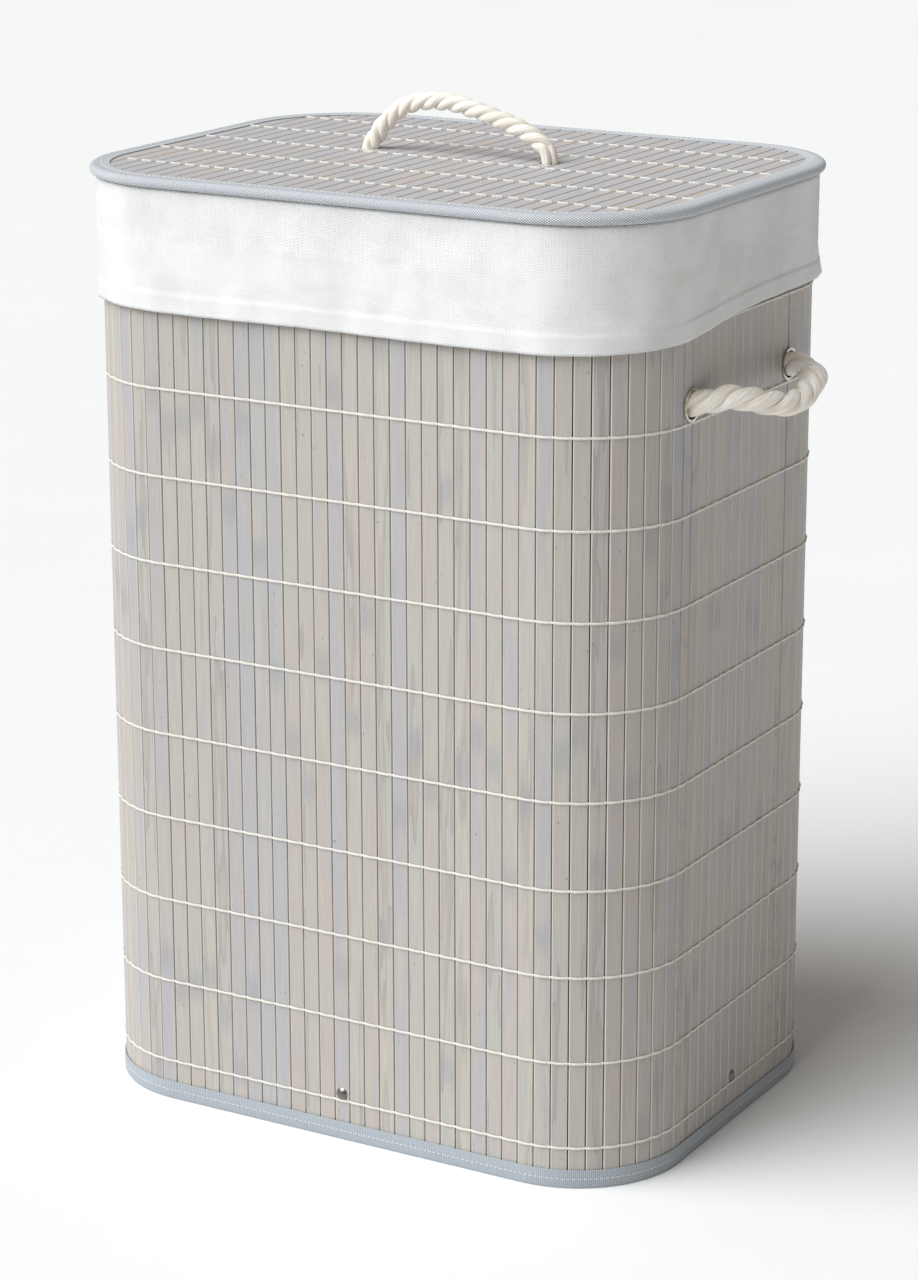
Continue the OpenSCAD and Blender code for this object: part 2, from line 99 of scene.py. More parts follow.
def walk(s, off=0.0):
    """Points and outward directions at distances s round the wall from the middle of its front."""
    s = np.atleast_1d(np.asarray(s, float)) % AROUND
    off = np.broadcast_to(np.asarray(off, float), s.shape)
    x, y, turn = np.zeros_like(s), np.zeros_like(s), np.zeros_like(s)
    start = 0.0
    runs = [STRAIGHT_X, ARC, 2 * STRAIGHT_Y, ARC, 2 * STRAIGHT_X, ARC, 2 * STRAIGHT_Y, ARC,
            STRAIGHT_X]
    at, heading = np.array([0.0, -HALF_D]), 0.0
    for k, run in enumerate(runs):
        here = (s >= start) & (s <= start + run)
        d = s[here] - start
        if k % 2 == 0:
            x[here] = at[0] + d * math.cos(heading)
            y[here] = at[1] + d * math.sin(heading)
            turn[here] = heading
            at = at + run * np.array([math.cos(heading), math.sin(heading)])
        else:
            centre = at + CORNER_R * np.array([-math.sin(heading), math.cos(heading)])
            a = heading + d / CORNER_R
            x[here] = centre[0] + CORNER_R * np.sin(a)
            y[here] = centre[1] - CORNER_R * np.cos(a)
            turn[here] = a
            heading += math.pi / 2
            at = centre + CORNER_R * np.array([math.sin(heading), -math.cos(heading)])
        start += run
    out = np.stack([np.sin(turn), -np.cos(turn)], 1)
    return np.stack([x, y], 1) + out * off[:, None], out


print("wall", round(2 * HALF_W, 4), "x", round(2 * HALF_D, 4), "round it", round(AROUND, 3), "m")

# %% [markdown]
# The camera stands in front and to the right, above the lid, with a long lens. It is made first.

# %% The camera
CAMERA_AT = Vector((1.1216, -1.9374, 0.9457))
YAW, PITCH_DOWN, ROLL = math.radians(-30.07), math.radians(-16.30), math.radians(-0.12)
forward = Vector((math.sin(YAW) * math.cos(PITCH_DOWN), math.cos(YAW) * math.cos(PITCH_DOWN),
                  math.sin(PITCH_DOWN)))
level = forward.cross(Vector((0, 0, 1))).normalized()
upright = level.cross(forward)
right = math.cos(ROLL) * level + math.sin(ROLL) * upright
up = -math.sin(ROLL) * level + math.cos(ROLL) * upright
bpy.ops.object.camera_add(location=CAMERA_AT)
camera = bpy.context.object
camera.rotation_euler = Matrix((right, up, -forward)).transposed().to_euler()
camera.data.sensor_width = 36
camera.data.lens = 101.8
bpy.context.scene.camera = camera
bpy.context.scene.view_settings.view_transform = "Standard"
print("camera", tuple(round(c, 3) for c in camera.location))

# %% [markdown]
# Small helpers that every piece uses. A mesh built from rows of points is the plainest way to make
# a skin that is swept or draped: rows run along it, and each row is joined to the next.

# %% Helpers for making pieces
def clear():
    if bpy.context.object and bpy.context.object.mode != "OBJECT":
        bpy.ops.object.mode_set(mode="OBJECT")
    bpy.ops.object.select_all(action="DESELECT")


def only(obj):
    clear()
    obj.select_set(True)
    bpy.context.view_layer.objects.active = obj
    return obj


def apply_place(obj):
    only(obj)
    bpy.ops.object.transform_apply(location=True, rotation=True, scale=True)
    return obj


def apply_modifier(obj, kind, name="step", **values):
    """Adds a modifier, sets its values and applies it."""
    only(obj)
    modifier = obj.modifiers.new(name, kind)
    for key, value in values.items():
        setattr(modifier, key, value)
    bpy.ops.object.modifier_apply(modifier=name)
    return obj


def face_out(obj):
    """Turns every face of a piece outwards."""
    only(obj)
    bpy.ops.object.mode_set(mode="EDIT")
    bpy.ops.mesh.select_all(action="SELECT")
    bpy.ops.mesh.normals_make_consistent(inside=False)
    bpy.ops.object.mode_set(mode="OBJECT")


def joined(name, parts):
    """The parts as one piece."""
    clear()
    for part in parts:
        part.select_set(True)
    bpy.context.view_layer.objects.active = parts[0]
    bpy.ops.object.join()
    piece = bpy.context.object
    piece.name = piece.data.name = name
    return piece


def grid_piece(name, rows, uv, closed_across=False, closed_along=False):
    """A skin through rows of points, with a UV map from uv (the same shape, two numbers each)."""
    rows = np.asarray(rows, float)
    n, m = rows.shape[:2]
    i = np.arange(n if closed_along else n - 1)[:, None]
    j = np.arange(m if closed_across else m - 1)[None, :]
    a, b = i * m + j, i * m + (j + 1) % m
    c, d = ((i + 1) % n) * m + (j + 1) % m, ((i + 1) % n) * m + j
    faces = np.stack(np.broadcast_arrays(a, b, c, d), -1).reshape(-1, 4)
    mesh = bpy.data.meshes.new(name)
    mesh.from_pydata(rows.reshape(-1, 3).tolist(), [], faces.tolist())
    layer = mesh.uv_layers.new(name="UVMap")
    u0, v0 = np.broadcast_arrays(i, j)
    corners = [(u0, v0), (u0, v0 + 1), (u0 + 1, v0 + 1), (u0 + 1, v0)]
    uv = np.asarray(uv, float)
    places = np.stack([uv[a_, b_] for a_, b_ in corners], 2).reshape(-1, 2)
    layer.data.foreach_set("uv", places.ravel())
    mesh.shade_smooth()
    mesh.update()
    obj = bpy.data.objects.new(name, mesh)
    bpy.context.collection.objects.link(obj)
    return obj


def many(name, source, places, value_name=None, values=None):
    """One piece made of a copy of source's mesh at each place, with a number on each copy."""
    mesh = source.data
    n, count = len(mesh.vertices), len(places)
    co = np.empty(n * 3)
    mesh.vertices.foreach_get("co", co)
    co = np.c_[co.reshape(-1, 3), np.ones(n)]
    mats = np.array([np.array(p) for p in places])
    every = np.einsum("kij,nj->kni", mats, co)[:, :, :3].reshape(-1, 3)
    faces = [list(p.vertices) for p in mesh.polygons]
    made = bpy.data.meshes.new(name)
    made.from_pydata(every.tolist(), [],
                     [[v + k * n for v in f] for k in range(count) for f in faces])
    for attribute in mesh.attributes:
        if attribute.domain == "POINT" and attribute.data_type == "FLOAT":
            layer = made.attributes.new(attribute.name, "FLOAT", "POINT")
            one = np.empty(n)
            attribute.data.foreach_get("value", one)
            layer.data.foreach_set("value", np.tile(one, count))
    if value_name:
        layer = made.attributes.new(value_name, "FLOAT", "POINT")
        layer.data.foreach_set("value", np.repeat(np.asarray(values, float), n))
    smooth = np.array([p.use_smooth for p in mesh.polygons])
    made.polygons.foreach_set("use_smooth", np.tile(smooth, count))
    made.update()
    obj = bpy.data.objects.new(name, made)
    bpy.context.collection.objects.link(obj)
    return obj


def discard(*objects):
    for obj in objects:
        bpy.data.objects.remove(obj, do_unlink=True)


def noise(rng, size, n):
    """A smooth closed wave of n points, made of a few random ones; size is the number of waves."""
    t = np.arange(n) / n * 2 * math.pi
    out = np.zeros(n)
    for k in range(1, size + 1):
        out += rng.normal() * np.cos(k * t + rng.uniform(0, 2 * math.pi)) / k ** 0.5
    return out / np.abs(out).max()


print("helpers ready")

# %% [markdown]
# Each handle is three-strand cotton rope: every strand winds round the rope's middle line, and is
# itself a bundle of yarns twisted the other way. A plain tube with a bump map would look flat where
# the strands cross the outline, so the strands are swept as real ridged tubes. The route is the
# one that the plain tube in the frame follows.

# %% A laid rope along a route
def smooth_route(points, step):
    """A smooth line through the points, with a point every step or so."""
    p = np.array(points, float)
    knots = np.r_[0, np.cumsum(np.linalg.norm(np.diff(p, axis=0), axis=1) ** 0.5)]
    padded = np.vstack([2 * p[0] - p[1], p, 2 * p[-1] - p[-2]])
    times = np.r_[2 * knots[0] - knots[1], knots, 2 * knots[-1] - knots[-2]]
    line = []
    for i in range(1, len(p)):
        t0, t1, t2, t3 = times[i - 1:i + 3]
        a, b, c, d = padded[i - 1:i + 3]
        for t in np.linspace(t1, t2, 24, endpoint=False):
            a1 = (t1 - t) / (t1 - t0) * a + (t - t0) / (t1 - t0) * b
            a2 = (t2 - t) / (t2 - t1) * b + (t - t1) / (t2 - t1) * c
            a3 = (t3 - t) / (t3 - t2) * c + (t - t2) / (t3 - t2) * d
            b1 = (t2 - t) / (t2 - t0) * a1 + (t - t0) / (t2 - t0) * a2
            b2 = (t3 - t) / (t3 - t1) * a2 + (t - t1) / (t3 - t1) * a3
            line.append((t2 - t) / (t2 - t1) * b1 + (t - t1) / (t2 - t1) * b2)
    line = np.array(line + [p[-1]])
    along = np.r_[0, np.cumsum(np.linalg.norm(np.diff(line, axis=0), axis=1))]
    at = np.linspace(0, along[-1], int(along[-1] / step) + 1)
    return np.stack([np.interp(at, along, line[:, k]) for k in range(3)], 1), at


def carried_frames(line):
    """Directions along the line and two across it that don't spin as it bends."""
    along = np.gradient(line, axis=0)
    along /= np.linalg.norm(along, axis=1)[:, None]
    first = np.cross(along[0], [0.3, 0.2, 0.93])
    across = [first / np.linalg.norm(first)]
    for i in range(1, len(line)):
        v = across[-1] - along[i] * (across[-1] @ along[i])
        across.append(v / np.linalg.norm(v))
    across = np.array(across)
    return along, across, np.cross(along, across)


def laid_rope(name, route, diameter, lay, phase=0.0, loose_end=0.0, yarns=9, step=1.1 * MM):
    """Three strands laid left-handed along a route; the last loose_end of it lies straight."""
    line, at = smooth_route(route, step)
    along, across, over = carried_frames(line)
    strand_r = 0.464 * diameter / 2 * 1.1
    helix_r = diameter / 2 - strand_r
    wound = np.minimum(at, at[-1] - loose_end) if loose_end else at
    untied = 0 * at
    if loose_end:
        untied = np.clip((at - (at[-1] - loose_end)) / max(loose_end, 1e-9), 0, 1)
    around_yarn = 4 * yarns
    theta = np.arange(around_yarn) / around_yarn * 2 * math.pi
    verts, uvs = [], []
    for k in range(3):
        turn = phase - 2 * math.pi * (wound / lay + k / 3)
        push = helix_r * (1 - 0.12 * untied)
        centre = line + push[:, None] * (np.cos(turn)[:, None] * across
                                         + np.sin(turn)[:, None] * over)
        direction = np.gradient(centre, axis=0)
        direction /= np.linalg.norm(direction, axis=1)[:, None]
        outward = centre - line
        outward -= direction * (outward * direction).sum(1)[:, None]
        outward /= np.linalg.norm(outward, axis=1)[:, None]
        side = np.cross(direction, outward)
        ridge = theta[None, :] * yarns - 2 * math.pi * (at[:, None] / (lay * 0.62)) * 2
        depth = 0.02 + 0.05 * untied[:, None]
        r = strand_r * (1 + depth * (np.abs(np.cos(ridge / 2)) - 0.6))
        r = r * (1 - 0.05 * np.cos(theta)[None, :] ** 2)
        rows = (centre[:, None] + r[..., None] * (np.cos(theta)[None, :, None] * outward[:, None]
                + np.sin(theta)[None, :, None] * side[:, None]))
        verts.append(rows)
        u = np.repeat(at[:, None], around_yarn + 1, 1)
        v = np.repeat(np.arange(around_yarn + 1)[None] / around_yarn, len(at), 0) + k * 1.37
        uvs.append(np.stack([u, v], -1))
    rope = joined(name, [grid_piece(f"{name}_{k}", rows, wrapped, closed_across=True)
                         for k, (rows, wrapped) in enumerate(zip(verts, uvs))])
    bpy.ops.object.mode_set(mode="EDIT")
    bpy.ops.mesh.select_all(action="SELECT")
    bpy.ops.mesh.fill_holes(sides=0)
    bpy.ops.object.mode_set(mode="OBJECT")
    face_out(rope)
    return rope, line, at[-1]


# %% [markdown]
# A side handle is one length of rope pushed out through two eyelets and knotted behind the wall.
# Its route repeats the points of the frame's tube, measured from the wall's face, the handle's
# middle and the holes' height. The knots are loops of thinner rope, small enough for the room.

# %% The side handles
SIDE_ROPE, LID_ROPE = 15 * MM, 12 * MM
SIDE_HOLES_Z, SIDE_MIDDLE_Y, SIDE_HOLE_HALF = 482 * MM, -6 * MM, 67 * MM
SIDE_ROUTE = [(8.8, -60, 2), (13, -55, 3), (18, -49.5, 3.5), (24.5, -42, 1.5), (30, -33.5, -1),
              (35, -24, -3.5), (38, -14, -5), (39.5, -4, -5), (39, 6.5, -3.5), (37.5, 17, -1),
              (35, 27, 0), (32, 36.5, 0), (27.5, 45.5, -0.5), (21, 53, -0.5), (14, 58.5, 1),
              (8.8, 61.5, 2)]
INSIDE = [(-9, -67, 0), (-4, -66.7, 0), (1, -65, 0.6)], [(1, 66, 0.6), (-4, 67, 0), (-9, 67, 0)]


def tied_knots(name, node, places, size, depth, inward, body):
    """A rope's ends tied small inside the wall, one knot at each place, as one piece."""
    made = []
    for k, place in enumerate(places):
        t = np.linspace(0, 2 * math.pi, 26)
        flat = np.stack([np.sin(t) + 2 * np.sin(2 * t), np.cos(t) - 2 * np.cos(2 * t)], 1) * size
        out = (-np.sin(3 * t)) * depth
        if abs(inward[0]):
            route = np.stack([out, flat[:, 0], flat[:, 1]], 1)
        else:
            route = np.stack([flat[:, 0], flat[:, 1], out], 1)
        made.append(laid_rope(f"{name}_{k}", route + place, 3.4 * size, 26 * MM, k, yarns=6,
                              step=1.6 * MM)[0])
    knots = joined(name, made)
    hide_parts(node)
    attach(knots, body)
    return knots


def side_handle(side):
    route = [(side * (HALF_W + x * MM), SIDE_MIDDLE_Y + y * MM, SIDE_HOLES_Z + z * MM)
             for x, y, z in INSIDE[0] + SIDE_ROUTE + INSIDE[1]]
    name = "right" if side > 0 else "left"
    rope, line, length = laid_rope(f"{name}_handle_laid_rope", route, 1.05 * SIDE_ROPE, 50 * MM,
                                   0.4)
    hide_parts(f"{name}_handle_rope")
    hinge = 8.9 * MM
    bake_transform(rope, "basket", f"{name}_handle", start=(side * HALF_W, 0, SIDE_HOLES_Z),
             end=(side * (HALF_W + hinge), 0, SIDE_HOLES_Z))
    x = side * (HALF_W - 15.5 * MM)
    knots = tied_knots(f"{name}_handle_tied_knots", f"{name}_handle_knots",
                       [(x, SIDE_MIDDLE_Y + k * SIDE_HOLE_HALF, SIDE_HOLES_Z) for k in (-1, 1)],
                       2.9 * MM, 5.5 * MM, (1, 0, 0), "basket")
    print(rope.name, "length", round(length, 3))
    return rope, knots


side_ropes = [*side_handle(1), *side_handle(-1)]

# %% [markdown]
# The lid's handle is a thinner rope that arches to one side, with its far end coming untwisted. It
# goes through the lid and is knotted below, so it is laid and tied with the same two functions.

# %% The lid's handle
LID_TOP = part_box("lid_slats")[1][2]
LID_HANDLE_Y = 17 * MM
LID_FEET_X = -74.5 * MM, 55 * MM
LID_ROUTE = [(-74.5, -3), (-74.2, 1), (-70, 7), (-66, 13), (-61, 18.5), (-52, 26), (-41, 31),
             (-28, 33), (-12, 32.5), (2, 29.5), (16.5, 25.5), (31, 21), (42, 16.5), (49.5, 12),
             (53.5, 7), (55, 1), (55, -3)]
lid_route = [(x * MM, LID_HANDLE_Y, LID_TOP + z * MM) for x, z in LID_ROUTE]
lid_rope, lid_line, lid_length = laid_rope("lid_handle_laid_rope", lid_route, LID_ROPE, 31 * MM,
                                           1.2, loose_end=13 * MM, yarns=8, step=0.9 * MM)
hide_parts("lid_handle_rope")
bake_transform(lid_rope, "lid", "lid_handle", start=(0, LID_HANDLE_Y, LID_TOP),
         end=(0, LID_HANDLE_Y, LID_TOP + 6.9 * MM))
lid_knots = tied_knots("lid_handle_tied_knots", "lid_handle_knots",
                       [(x, LID_HANDLE_Y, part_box("lid_tape")[0][2] - 7.5 * MM)
                        for x in LID_FEET_X], 2.1 * MM, 3.4 * MM, (0, 0, 1), "lid")
print("lid handle length", round(lid_length, 3))

# %% [markdown]
# The wall is a row of bamboo slats glued to cloth, each planed flat with its long edges rounded.
# One slat is made from a block with its two outer edges bevelled, and copied round the wall. The
# eyelets' bores are then cut through, as the holes are punched after the slats are glued.

# %% One slat
def pick_edges(piece, wanted):
    """Go into edit mode with only the edges whose two ends pass the test."""
    bpy.ops.object.mode_set(mode="EDIT")
    bpy.ops.mesh.select_mode(type="EDGE")
    bpy.ops.mesh.select_all(action="DESELECT")
    bpy.ops.object.mode_set(mode="OBJECT")
    for edge in piece.data.edges:
        edge.select = wanted(*(piece.data.vertices[v].co for v in edge.vertices))
    bpy.ops.object.mode_set(mode="EDIT")


def slat_block(name, width, thick, low, high):
    """A slat along Z, its outer face on y = 0, with the edges of that face rounded and marked for a painted
    highlight.
    """
    clear()
    bpy.ops.mesh.primitive_cube_add(size=1, location=(0, -thick / 2, (low + high) / 2))
    slat = bpy.context.object
    slat.name = name
    slat.scale = (width, thick, high - low)
    apply_place(slat)
    pick_edges(slat, lambda a, b: min(a.y, b.y) > -1e-6 and abs(a.x - b.x) < 1e-6)
    bpy.ops.mesh.bevel(offset=SLAT_ROUND, segments=3, affect="EDGES")
    bpy.ops.mesh.normals_make_consistent(inside=False)
    bpy.ops.object.mode_set(mode="OBJECT")
    # The edge attribute marks the rounded edges, where the bamboo colour gets a painted highlight.
    edge = slat.data.attributes.new("edge", "FLOAT", "POINT")
    edge.data.foreach_set("value", [
        float(abs(v.co.x) > width / 2 - 0.9 * SLAT_ROUND and v.co.y > -thick / 2)
        for v in slat.data.vertices])
    return slat


def upright_at(s, off=0.0, z=0.0):
    """The place whose X runs along the wall and whose Y points out of it."""
    point, out = walk(s, off)
    (x, y), (ox, oy) = point[0], out[0]
    return Matrix(((-oy, ox, 0, x), (ox, oy, 0, y), (0, 0, 1, z), (0, 0, 0, 1)))


SLAT_ROUND = 0.68 * MM
rng = np.random.default_rng(7)
slat = slat_block("slat", SLAT_W, SLAT_T, SLAT_LOW, SLAT_HIGH)
count = 4 * QUARTER_SLATS
wall_slats = many("wall_slats", slat, [upright_at(k * PITCH, rng.normal() * 0.06 * MM)
                                       @ Matrix.Rotation(rng.normal() * 0.006, 4, "Z")
                                       for k in range(count)], "strip", rng.random(count))
clear()
bores = []
for y in (-1, 1):
    clear()
    bpy.ops.mesh.primitive_cylinder_add(
        vertices=40, radius=9.2 * MM, depth=3 * HALF_W, rotation=(0, math.pi / 2, 0),
        location=(0, SIDE_MIDDLE_Y + y * SIDE_HOLE_HALF, SIDE_HOLES_Z))
    bores.append(apply_place(bpy.context.object))
for bore in bores:
    apply_modifier(wall_slats, "BOOLEAN", object=bore, operation="DIFFERENCE", solver="EXACT")
discard(slat, *bores)
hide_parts("slats_front", "slats_back", "slats_left", "slats_right", "slats_corners")
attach(wall_slats, "basket")
print("wall slats:", count, "faces", len(wall_slats.data.polygons))

# %% [markdown]
# The lid's slats lie across it, from front to back, and end under the bound edge. Each is the same
# block laid flat, and all of them are cut together by a block with the lid's rounded outline.

# %% The lid's slats
LID_LOW, LID_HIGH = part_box("lid_slats")
LID_T, LID_PITCH = LID_HIGH[2] - LID_LOW[2], 11.17 * MM
LID_W = LID_PITCH - SLAT_GAP
lid_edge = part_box("lid_board")[1]
lid_corner = lid_edge[0] - STRAIGHT_X
lid_slat = slat_block("lid_slat", LID_W, LID_T, -0.5, 0.5)
reach = int(math.floor(lid_edge[0] / LID_PITCH + 0.5))
long = 2 * lid_edge[1] + 4 * MM
places = [Matrix(((1, 0, 0, i * LID_PITCH), (0, 0, -long, 0), (0, 1, 0, LID_HIGH[2]), (0, 0, 0, 1)))
          for i in range(-reach, reach + 1)]
lid_slats = many("lid_bamboo_slats", lid_slat, places, "strip", rng.random(len(places)))
face_out(lid_slats)
clear()
bpy.ops.mesh.primitive_cube_add(size=1, location=(0, 0, LID_HIGH[2] - LID_T / 2))
outline = bpy.context.object
outline.scale = (2 * lid_edge[0], 2 * lid_edge[1], 4 * LID_T)
apply_place(outline)
pick_edges(outline, lambda a, b: abs(a.z - b.z) > LID_T)
bpy.ops.mesh.bevel(offset=lid_corner, segments=20, affect="EDGES")
bpy.ops.object.mode_set(mode="OBJECT")
apply_modifier(lid_slats, "BOOLEAN", object=outline, operation="INTERSECT", solver="EXACT")
discard(outline)
for x in LID_FEET_X:
    clear()
    bpy.ops.mesh.primitive_cylinder_add(vertices=40, radius=6.3 * MM, depth=0.05,
                                        location=(x, LID_HANDLE_Y, LID_TOP))
    bore = apply_place(bpy.context.object)
    apply_modifier(lid_slats, "BOOLEAN", object=bore, operation="DIFFERENCE", solver="EXACT")
    discard(bore)
discard(lid_slat)
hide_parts("lid_slats")
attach(lid_slats, "lid")
print("lid slats:", len(places), "faces", len(lid_slats.data.polygons))

# %% [markdown]
# Ten rows of thread hold the wall's slats. Each is one thread that lies proud on a slat's face and
# dips at the seam, so it is swept round the wall with that dip in it.

# %% Threads round the wall
THREAD_DEEP, THREAD_TALL, THREAD_SIDES = 0.5 * MM, 0.85 * MM, 8
THREAD_Z = [(26.3 + 55.6 * k) * MM for k in range(10)]


def thread_row(z):
    """One row of thread at height z, with six steps to a slat."""
    per = 6
    n = count * per
    s = np.arange(n) / n * AROUND
    dip = np.cos(2 * math.pi * s / PITCH) * 0.5 + 0.5
    off = -0.15 * MM + 0.75 * MM * dip ** 0.35
    lift = rng.normal(size=count).repeat(per) * 0.03 * MM
    a = np.arange(THREAD_SIDES) / THREAD_SIDES * 2 * math.pi
    rows = []
    for angle in a:
        xy, _ = walk(s, off + THREAD_DEEP * math.cos(angle))
        rows.append(np.c_[xy, z + lift + THREAD_TALL * math.sin(angle)])
    rows = np.stack(rows, 1)
    turns = np.arange(THREAD_SIDES + 1) / THREAD_SIDES
    uv = np.stack(np.broadcast_arrays(np.r_[s, AROUND][:, None], turns[None]), -1)
    return rows, uv


threads = []
for k, z in enumerate(THREAD_Z):
    rows, uv = thread_row(z)
    threads.append(grid_piece(f"thread_{k}", rows, uv, closed_across=True, closed_along=True))
wall_threads = joined("wall_stitched_threads", threads)
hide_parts("wall_threads")
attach(wall_threads, "basket")
print("thread rows:", len(THREAD_Z), "faces", len(wall_threads.data.polygons))

# %% [markdown]
# On the lid the thread shows as one dash on each slat. A dash is a short rod with round ends, made
# once and copied, and so are the stitches in the tapes.

# %% Dashes and stitches
def dash(length, radius):
    """A rod along X with rounded ends."""
    clear()
    bpy.ops.mesh.primitive_cylinder_add(vertices=8, radius=radius, depth=length - 1.2 * radius,
                                        rotation=(0, math.pi / 2, 0))
    rod = apply_place(bpy.context.object)
    bpy.ops.object.mode_set(mode="EDIT")
    bpy.ops.mesh.select_mode(type="FACE")
    bpy.ops.mesh.select_all(action="DESELECT")
    bpy.ops.object.mode_set(mode="OBJECT")
    for face in rod.data.polygons:
        face.select = abs(face.normal.x) > 0.9
    bpy.ops.object.mode_set(mode="EDIT")
    bpy.ops.mesh.bevel(offset=0.55 * radius, segments=2)
    bpy.ops.object.mode_set(mode="OBJECT")
    rod.data.shade_smooth()
    return rod


THREAD_TURN, LID_ROW_STEP = math.radians(-2.8), 52.1 * MM
lid_dash = dash(8.6 * MM, 0.68 * MM)
TAPED = 4.6 * MM
lid_inner = lid_edge[0] - TAPED, lid_edge[1] - TAPED
inner_r = lid_corner - TAPED
places = []
for k in range(-2, 3):
    for i in range(-reach, reach + 1):
        x, y = i * LID_PITCH, k * LID_ROW_STEP + i * LID_PITCH * math.tan(THREAD_TURN)
        cx = max(abs(x) + 4.2 * MM - (lid_inner[0] - inner_r), 0)
        cy = max(abs(y) + 1 * MM - (lid_inner[1] - inner_r), 0)
        near_rope = (abs(y - LID_HANDLE_Y) < 7.5 * MM
                     and min(abs(x - foot) for foot in LID_FEET_X) < 9 * MM)
        if math.hypot(cx, cy) < inner_r and not near_rope:
            places.append(Matrix.Translation((x, y, LID_TOP + 0.25 * MM))
                          @ Matrix.Rotation(THREAD_TURN + rng.normal() * 0.012, 4, "Z"))
lid_threads = many("lid_stitched_threads", lid_dash, places)
discard(lid_dash)
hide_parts("lid_threads")
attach(lid_threads, "lid")
print("lid dashes:", len(places))

# %% [markdown]
# The foot and the lid's edge are bound in ribbed tape. The tape is a strip folded over the edge, so
# its section is swept round the outline with a little unevenness in it.

# %% The tapes
def ring(n):
    """Distances round the wall from the middle of its back, and with the start repeated."""
    s = 2 * QUARTER + np.arange(n) / n * AROUND
    return s, np.r_[s, s[0] + AROUND]


def taped(name, profile, wobble, n=464):
    """A closed section of (off, z) swept round the wall."""
    profile = np.array(profile) * MM
    s, around_it = ring(n)
    wave = noise(rng, 40, n) * wobble
    rows = []
    for off, z in profile:
        xy, _ = walk(s, off + wave)
        rows.append(np.c_[xy, np.full(n, z)])
    rows = np.stack(rows, 1)
    closed = np.vstack([profile, profile[:1]])
    across = np.r_[0, np.cumsum(np.linalg.norm(np.diff(closed, axis=0), axis=1))]
    uv = np.stack(np.broadcast_arrays(around_it[:, None], across[None]), -1)
    tape = grid_piece(name, rows, uv, closed_across=True, closed_along=True)
    face_out(tape)
    bpy.ops.object.shade_smooth_by_angle(angle=math.radians(50))
    return tape


foot_tape = taped("foot_ribbed_tape", [
    (0.3, 11.8), (0.7, 12.05), (1.05, 11.8), (1.15, 6), (1.1, 1), (0.7, 0.2), (0, 0), (-3, 0),
    (-3.45, 0.6), (-3.5, 12), (-2.8, 12), (-2.75, 1.1), (0.25, 1.1)], 0.12 * MM)
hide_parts("foot_tape")
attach(foot_tape, "basket")

LID_Z, LID_ROLL_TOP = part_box("lid_tape")[0][2] / MM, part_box("lid_tape")[1][2] / MM
ROLL_R = (LID_ROLL_TOP - LID_Z) / 2
OVER = (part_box("lid_tape")[1][0] - HALF_W) / MM
turns = np.radians(np.linspace(90, -90, 13))
outer, inner = [[(OVER - ROLL_R + r * math.cos(t), LID_Z + ROLL_R + r * math.sin(t)) for t in way]
                for r, way in ((ROLL_R, turns), (ROLL_R - 0.8, turns[::-1]))]
lid_tape = taped("lid_woven_tape", [(OVER - 12.4, LID_ROLL_TOP - 0.15), (OVER - 11.9, LID_ROLL_TOP)]
                 + outer + [(OVER - 11.5, LID_Z), (OVER - 11.5, LID_Z + 0.8)]
                 + inner + [(OVER - 12.4, LID_ROLL_TOP - 0.75)], 0.1 * MM)
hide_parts("lid_tape")
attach(lid_tape, "lid")


def stitches(name, every, length, off, z, radius, body):
    rod = dash(length, radius)
    n = int(AROUND / every)
    row = many(name, rod, [upright_at(k / n * AROUND, off, z)
                           @ Matrix.Rotation(rng.normal() * 0.04, 4, "Y") for k in range(n)])
    discard(rod)
    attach(row, body)
    return row


foot_stitches = stitches("foot_tape_stitches", 3.4 * MM, 2.4 * MM, 1.2 * MM, 6.2 * MM, 0.28 * MM,
                         "basket")
lid_stitches = stitches("lid_tape_stitches", 3.6 * MM, 2.4 * MM, (OVER - 7.6) * MM,
                        LID_ROLL_TOP * MM + 0.05 * MM, 0.26 * MM, "lid")
print("tapes round", round(AROUND, 3), "m")

# %% [markdown]
# The liner's top is turned down over the rim as a collar, and hangs loose, so its hem waves, stands
# off the rear right corner and rides up behind the right handle. It keeps the creases that it was
# packed with, and its last part is doubled as a hem.

# %% The collar
COLLAR_TOP, COLLAR_H, HEM_H = 594.7 * MM, 74.6 * MM, 12 * MM
n = 464
s, collar_round = ring(n)
rear_right = QUARTER + STRAIGHT_Y + ARC / 2


def away_from(middle):
    return (s - middle + AROUND / 2) % AROUND - AROUND / 2


def near(middle, width):
    return np.exp(-(away_from(middle) / width) ** 2)


def between(first, last, soft):
    """1 from first to last round the wall, and 0 elsewhere, with soft steps."""
    middle, half = (first + last) / 2, (last - first) / 2
    return 1 / (1 + np.exp((np.abs(away_from(middle)) - half) / soft))


hem_rise = 1.1 * MM * noise(rng, 9, n) + 9.5 * MM * between(
    QUARTER - 50 * MM, rear_right + 60 * MM, 24 * MM)
flare = 3.8 * MM * near(rear_right, 30 * MM)
loose = 0.8 * MM * (0.5 + 0.5 * noise(rng, 14, n))
crease = 0.75 * MM * noise(rng, 30, n)
rows = [np.c_[walk(s, off * MM)[0], np.full(n, z * MM)]
        for off, z in ((-4.6, 594.7), (-1.5, 594.72), (0.7, 594.72), (2.0, 594.35), (2.55, 593.5))]
cut = 1 - HEM_H / COLLAR_H
drops = np.r_[np.linspace(0.02, cut, 26), np.linspace(cut + 0.008, 1, 8)]
for t in drops:
    z = COLLAR_TOP - t * (COLLAR_H - hem_rise)
    ripple = 0.3 * MM * t * np.sin(2 * math.pi * 43 * s / AROUND + 3 * t)
    fold = (crease * np.exp(-((t - 0.42) / 0.025) ** 2)
            - crease[::-1] * np.exp(-((t - 0.7) / 0.02) ** 2))
    off = 2.65 * MM + flare * t ** 5 + loose * t ** 2 + ripple + fold + 0.42 * MM * (t > cut)
    rows.append(np.c_[walk(s, off)[0], z])
